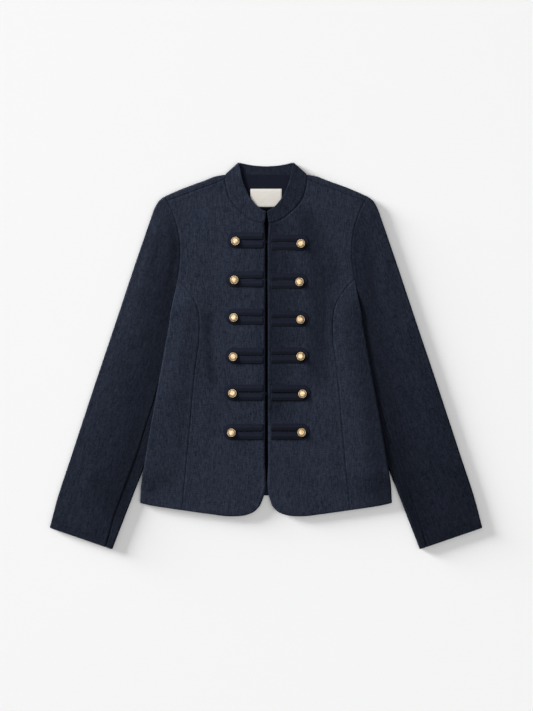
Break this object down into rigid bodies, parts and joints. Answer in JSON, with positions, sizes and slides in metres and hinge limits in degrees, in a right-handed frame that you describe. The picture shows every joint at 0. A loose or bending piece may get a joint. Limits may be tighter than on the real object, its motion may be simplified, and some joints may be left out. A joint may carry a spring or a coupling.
{
  "type": "napoleon jacket",
  "caption": "Short navy open-front jacket with a stand collar, rows of folded braid and domed gold buttons, long two-piece sleeves and princess seams, laid flat.",
  "frame": {"origin": "on the surface that the jacket lies on, under the middle of its outline", "axes": "+X across the jacket towards the wearer's left, +Y up it towards the collar, +Z off the surface"},
  "size_m": [0.7774, 0.6954, 0.0162],
  "materials": {
    "navy_cloth": "melange navy suiting twill with fine lengthwise lighter threads",
    "lining": "smooth dark navy lining with a low sheen",
    "label": "bare cream woven label",
    "braid": "dark navy ribbed braid",
    "button_brass": "pale gold polished brass",
    "hook_wire": "dark steel wire"
  },
  "bodies": {
    "root": {"back": "navy_cloth", "back_lining": "lining", "collar": "navy_cloth", "neck_label": "label", "front_left": "navy_cloth", "side_front_left": "navy_cloth", "top_sleeve_left": "navy_cloth", "under_sleeve_left": "navy_cloth", "braid_left_1": "braid", "braid_left_2": "braid", "braid_left_3": "braid", "braid_left_4": "braid", "braid_left_5": "braid", "braid_left_6": "braid", "button_left_1": "button_brass", "button_left_2": "button_brass", "button_left_3": "button_brass", "button_left_4": "button_brass", "button_left_5": "button_brass", "button_left_6": "button_brass", "front_right": "navy_cloth", "side_front_right": "navy_cloth", "top_sleeve_right": "navy_cloth", "under_sleeve_right": "navy_cloth", "braid_right_1": "braid", "braid_right_2": "braid", "braid_right_3": "braid", "braid_right_4": "braid", "braid_right_5": "braid", "braid_right_6": "braid", "button_right_1": "button_brass", "button_right_2": "button_brass", "button_right_3": "button_brass", "button_right_4": "button_brass", "button_right_5": "button_brass", "button_right_6": "button_brass", "eye_1": "hook_wire", "hook_1": "hook_wire", "eye_2": "hook_wire", "hook_2": "hook_wire", "eye_3": "hook_wire", "hook_3": "hook_wire"}
  },
  "joints": []
}
